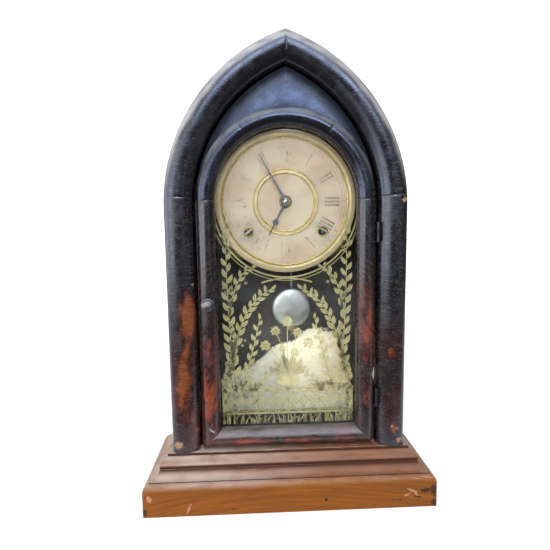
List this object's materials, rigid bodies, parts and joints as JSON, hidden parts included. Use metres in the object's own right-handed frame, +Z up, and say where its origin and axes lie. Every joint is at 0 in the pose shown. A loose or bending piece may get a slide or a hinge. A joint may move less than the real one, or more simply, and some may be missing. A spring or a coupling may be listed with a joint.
{
  "type": "mantel clock",
  "caption": "Pointed-arch wooden mantel clock with a glazed door, painted dial, short pendulum and a spring-driven movement that strikes a wire gong.",
  "frame": {"origin": "middle of the footprint, on the surface that the clock stands on", "axes": "+X to the right seen from the front, +Y to the back, +Z up"},
  "size_m": [0.3058, 0.1106, 0.488],
  "materials": {
    "rosewood_veneer": "dark varnished veneer on a softwood core",
    "mahogany": "worn varnished veneer",
    "pine": "bare softwood",
    "window_glass": "clear",
    "brass": "aged brass",
    "steel": "dull steel",
    "black_iron": "blackened",
    "dial_paint": "aged paint on sheet metal",
    "paper": "aged torn paper",
    "silvered": "silvered metal",
    "ebonised": "dark polished turned wood"
  },
  "bodies": {
    "case": {"plinth_front": "mahogany", "plinth_left": "mahogany", "plinth_right": "mahogany", "base_moulding_front": "mahogany", "base_moulding_left": "mahogany", "base_moulding_right": "mahogany", "base_board": "pine", "case_shell_left": "rosewood_veneer", "case_shell_right": "rosewood_veneer", "side_moulding_left": "rosewood_veneer", "side_moulding_right": "rosewood_veneer", "arch_moulding_left": "rosewood_veneer", "arch_moulding_right": "rosewood_veneer", "dial_block_left": "pine", "dial_block_right": "pine", "backboard": "pine", "paper_label": "paper", "hinge_case_leaf_upper": "black_iron", "hinge_case_leaf_lower": "black_iron", "dial_plate": "dial_paint", "dial_bezel": "brass", "dial_centre_ring": "brass", "movement_front_plate": "brass", "movement_back_plate": "brass", "mainspring_time": "steel", "mainspring_strike": "steel", "gong_coil": "steel", "gong_block": "black_iron"},
    "door": {"door_stile_left": "rosewood_veneer", "door_stile_right": "rosewood_veneer", "door_rail": "rosewood_veneer", "door_head": "rosewood_veneer", "door_arch_moulding": "rosewood_veneer", "door_glass": "window_glass", "hinge_door_leaf_upper": "black_iron", "hinge_door_leaf_lower": "black_iron"},
    "latch": {"door_knob": "ebonised", "door_catch": "steel"},
    "minute_hand_group": {"minute_hand": "black_iron", "hand_nut": "silvered", "cannon_sleeve": "brass"},
    "hour_hand_group": {"hour_hand": "black_iron", "hour_wheel": "brass"},
    "minute_wheel_group": {"minute_wheel": "brass"},
    "pendulum": {"pendulum_rod": "steel"},
    "bob": {"pendulum_bob": "silvered", "rating_nut": "brass"},
    "verge": {"verge_and_crutch": "steel"},
    "escape_wheel_group": {"escape_wheel": "brass"},
    "third_wheel_group": {"third_wheel": "brass"},
    "centre_wheel_group": {"centre_wheel": "brass"},
    "second_wheel_group": {"second_wheel_time": "brass"},
    "great_wheel_time_group": {"great_wheel_time": "brass"},
    "fly": {"strike_fly": "brass"},
    "pin_wheel_group": {"pin_wheel_strike": "brass"},
    "second_wheel_strike_group": {"second_wheel_strike": "brass"},
    "great_wheel_strike_group": {"great_wheel_strike": "brass"},
    "winding_time": {"winding_arbor_time": "steel"},
    "winding_strike": {"winding_arbor_strike": "steel"},
    "hammer": {"strike_hammer": "steel"}
  },
  "joints": [
    {"name": "door_swing", "type": "hinge", "parent": "case", "child": "door", "pos_m": [0.09485, -0.02935, 0.1996], "axis": [0, 0, 1], "range_deg": [0, 110]},
    {"name": "latch_turn", "type": "hinge", "parent": "door", "child": "latch", "pos_m": [-0.0833, -0.02335, 0.21531], "axis": [0, 1, 0], "range_deg": [0, 90]},
    {"name": "minute_hand_turn", "type": "hinge", "parent": "case", "child": "minute_hand_group", "pos_m": [0, -0.00735, 0.3215], "axis": [0, 1, 0], "continuous": true},
    {"name": "hour_hand_turn", "type": "hinge", "parent": "case", "child": "hour_hand_group", "pos_m": [0, -0.00735, 0.3215], "axis": [0, 1, 0], "continuous": true},
    {"name": "minute_wheel_turn", "type": "hinge", "parent": "case", "child": "minute_wheel_group", "pos_m": [-0.00847, -0.00135, 0.30941], "axis": [0, 1, 0], "continuous": true},
    {"name": "pendulum_swing", "type": "hinge", "parent": "case", "child": "pendulum", "pos_m": [0.006, 0.00065, 0.37], "axis": [0, 1, 0], "range_deg": [-4, 4]},
    {"name": "bob_height", "type": "slide", "parent": "pendulum", "child": "bob", "axis": [0, 0, 1], "range_m": [-0.004, 0.004]},
    {"name": "verge_rock", "type": "hinge", "parent": "case", "child": "verge", "pos_m": [0.006, 0.00865, 0.37], "axis": [0, 1, 0], "range_deg": [-4, 4]},
    {"name": "escape_wheel_turn", "type": "hinge", "parent": "case", "child": "escape_wheel_group", "pos_m": [0.006, 0.00865, 0.35577], "axis": [0, 1, 0], "continuous": true},
    {"name": "third_wheel_turn", "type": "hinge", "parent": "case", "child": "third_wheel_group", "pos_m": [-0.01678, 0.01465, 0.34353], "axis": [0, 1, 0], "continuous": true},
    {"name": "centre_wheel_turn", "type": "hinge", "parent": "case", "child": "centre_wheel_group", "pos_m": [0, 0.02465, 0.3215], "axis": [0, 1, 0], "continuous": true},
    {"name": "second_wheel_turn", "type": "hinge", "parent": "case", "child": "second_wheel_group", "pos_m": [0.02889, 0.02965, 0.32554], "axis": [0, 1, 0], "continuous": true},
    {"name": "great_wheel_time_turn", "type": "hinge", "parent": "case", "child": "great_wheel_time_group", "pos_m": [0.04, 0.00965, 0.2899], "axis": [0, 1, 0], "continuous": true},
    {"name": "fly_turn", "type": "hinge", "parent": "case", "child": "fly", "pos_m": [-0.03584, 0.02265, 0.36498], "axis": [0, 1, 0], "continuous": true},
    {"name": "pin_wheel_turn", "type": "hinge", "parent": "case", "child": "pin_wheel_group", "pos_m": [-0.04605, 0.01765, 0.34864], "axis": [0, 1, 0], "continuous": true},
    {"name": "second_wheel_strike_turn", "type": "hinge", "parent": "case", "child": "second_wheel_strike_group", "pos_m": [-0.0484, 0.02765, 0.32628], "axis": [0, 1, 0], "continuous": true},
    {"name": "great_wheel_strike_turn", "type": "hinge", "parent": "case", "child": "great_wheel_strike_group", "pos_m": [-0.04, 0.00965, 0.2899], "axis": [0, 1, 0], "continuous": true},
    {"name": "winding_time_turn", "type": "hinge", "parent": "case", "child": "winding_time", "pos_m": [0.04, 0.00365, 0.2899], "axis": [0, 1, 0], "continuous": true},
    {"name": "winding_strike_turn", "type": "hinge", "parent": "case", "child": "winding_strike", "pos_m": [-0.04, 0.00365, 0.2899], "axis": [0, 1, 0], "continuous": true},
    {"name": "hammer_lift", "type": "hinge", "parent": "case", "child": "hammer", "pos_m": [-0.054, 0.03265, 0.366], "axis": [0, 1, 0], "range_deg": [0, 12]}
  ],
  "couplings": [
    {"joint": "hour_hand_turn", "follows": "minute_hand_turn", "ratio": 0.083333},
    {"joint": "minute_wheel_turn", "follows": "minute_hand_turn", "ratio": -0.33333},
    {"joint": "verge_rock", "follows": "pendulum_swing", "ratio": 1},
    {"joint": "third_wheel_turn", "follows": "escape_wheel_turn", "ratio": -0.089744},
    {"joint": "centre_wheel_turn", "follows": "escape_wheel_turn", "ratio": 0.0081585},
    {"joint": "second_wheel_turn", "follows": "escape_wheel_turn", "ratio": -0.0013598},
    {"joint": "great_wheel_time_turn", "follows": "escape_wheel_turn", "ratio": 0.00027195},
    {"joint": "pin_wheel_turn", "follows": "fly_turn", "ratio": -0.125},
    {"joint": "second_wheel_strike_turn", "follows": "fly_turn", "ratio": 0.016667},
    {"joint": "great_wheel_strike_turn", "follows": "fly_turn", "ratio": -0.0033333}
  ]
}
